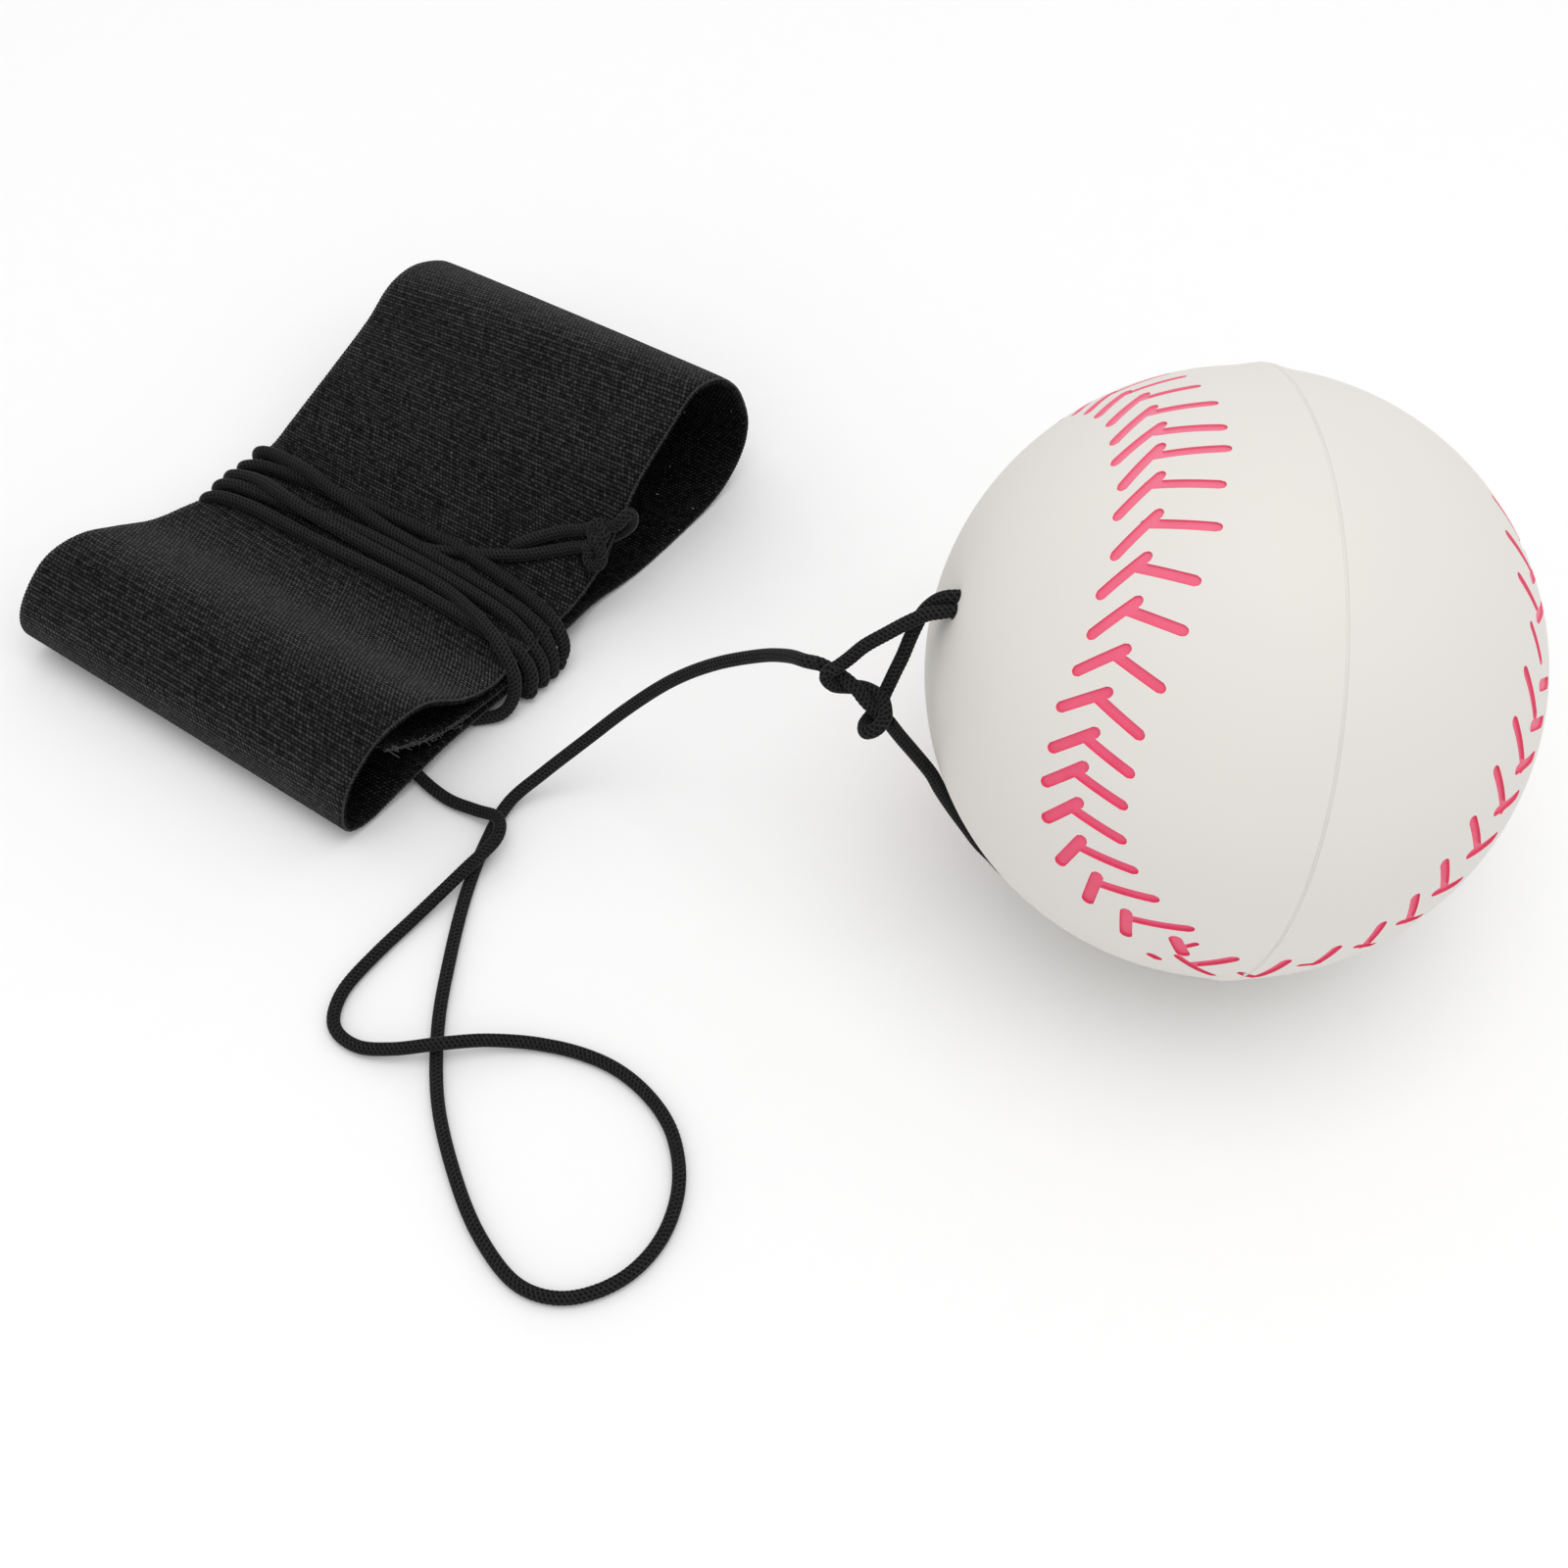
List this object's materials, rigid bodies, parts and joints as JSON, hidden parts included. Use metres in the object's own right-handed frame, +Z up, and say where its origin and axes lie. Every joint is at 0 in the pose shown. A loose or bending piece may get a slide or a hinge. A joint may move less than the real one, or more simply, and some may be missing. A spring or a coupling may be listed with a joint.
{
  "type": "wrist return ball",
  "caption": "Hollow rubber play ball with painted stitch marks, tied to an elastic cord that is wound round a pinched fabric wristband",
  "frame": {"origin": "on the floor, under the middle of the box round the band and the ball", "axes": "+X along the band's width from the band to the ball, +Y along the flattened band towards its far lobe, +Z up from the floor that the band and the ball rest on"},
  "size_m": [0.154, 0.1124, 0.06],
  "materials": {
    "woven_fabric": "black elastic webbing, matte, fine weave",
    "sewing_thread": "black polyester thread, matte",
    "elastic_cord": "black braided elastic cord, matte",
    "ball_rubber": "off-white moulded rubber, satin, with painted pink-red stitch marks",
    "bond_line": "off-white rubber flash along the mould line"
  },
  "bodies": {
    "wristband": {"band_strap": "woven_fabric", "closing_stitches": "sewing_thread", "cord_wrap": "elastic_cord", "tie_strands": "elastic_cord", "band_knot": "elastic_cord", "cord_run": "elastic_cord"},
    "tie": {"ball_knot": "elastic_cord", "loop_upper": "elastic_cord", "loop_lower": "elastic_cord", "knot_tail": "elastic_cord", "tunnel_strand": "elastic_cord"},
    "ball": {"ball_half_tunnel": "ball_rubber", "ball_half_plain": "ball_rubber", "ball_bond": "bond_line"}
  },
  "joints": [
    {"name": "cord_pull", "type": "slide", "parent": "wristband", "child": "tie", "axis": [1, 0, 0], "range_m": [0, 0.3], "stiffness_N_per_m": 5},
    {"name": "ball_swivel", "type": "hinge", "parent": "tie", "child": "ball", "pos_m": [0.03104, -0.00872, 0.02748], "axis": [-0.3274, 0.1458, 0.9336], "range_deg": [-60, 0]}
  ]
}
